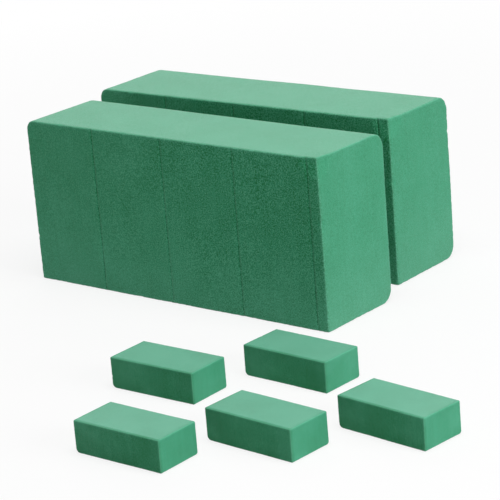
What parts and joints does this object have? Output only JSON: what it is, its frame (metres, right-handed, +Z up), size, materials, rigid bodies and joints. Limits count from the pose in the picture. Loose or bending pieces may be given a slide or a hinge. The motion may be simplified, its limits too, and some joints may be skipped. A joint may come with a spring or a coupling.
{
  "type": "floral foam brick set",
  "caption": "Dry green floral foam in loose rectangular bricks: large ones on edge with shallow score lines for slicing, and small ones lying flat.",
  "frame": {"origin": "the middle of the whole set's footprint, at the surface that the bricks stand on", "axes": "+X along the bricks' length to their right end, +Y from the front row to the large bricks at the back, +Z up"},
  "size_m": [0.3934, 0.355, 0.105],
  "materials": {
    "large_brick_foam": "matt open-cell foam, cut faces",
    "small_brick_foam": "matt fine-celled foam, cut faces"
  },
  "bodies": {
    "large_brick_front": {"large_brick_front": "large_brick_foam"},
    "large_brick_rear": {"large_brick_rear": "large_brick_foam"},
    "small_brick_near_left": {"small_brick_near_left": "small_brick_foam"},
    "small_brick_far_left": {"small_brick_far_left": "small_brick_foam"},
    "small_brick_far_right": {"small_brick_far_right": "small_brick_foam"},
    "small_brick_near_middle": {"small_brick_near_middle": "small_brick_foam"},
    "small_brick_near_right": {"small_brick_near_right": "small_brick_foam"}
  },
  "joints": [
    {"name": "large_brick_rear_lift", "type": "slide", "parent": "large_brick_front", "child": "large_brick_rear", "axis": [0, 0, 1], "range_m": [0, 0.15]},
    {"name": "small_brick_near_left_lift", "type": "slide", "parent": "large_brick_front", "child": "small_brick_near_left", "axis": [0, 0, 1], "range_m": [0, 0.15]},
    {"name": "small_brick_far_left_lift", "type": "slide", "parent": "large_brick_front", "child": "small_brick_far_left", "axis": [0, 0, 1], "range_m": [0, 0.15]},
    {"name": "small_brick_far_right_lift", "type": "slide", "parent": "large_brick_front", "child": "small_brick_far_right", "axis": [0, 0, 1], "range_m": [0, 0.15]},
    {"name": "small_brick_near_middle_lift", "type": "slide", "parent": "large_brick_front", "child": "small_brick_near_middle", "axis": [0, 0, 1], "range_m": [0, 0.15]},
    {"name": "small_brick_near_right_lift", "type": "slide", "parent": "large_brick_front", "child": "small_brick_near_right", "axis": [0, 0, 1], "range_m": [0, 0.15]}
  ]
}
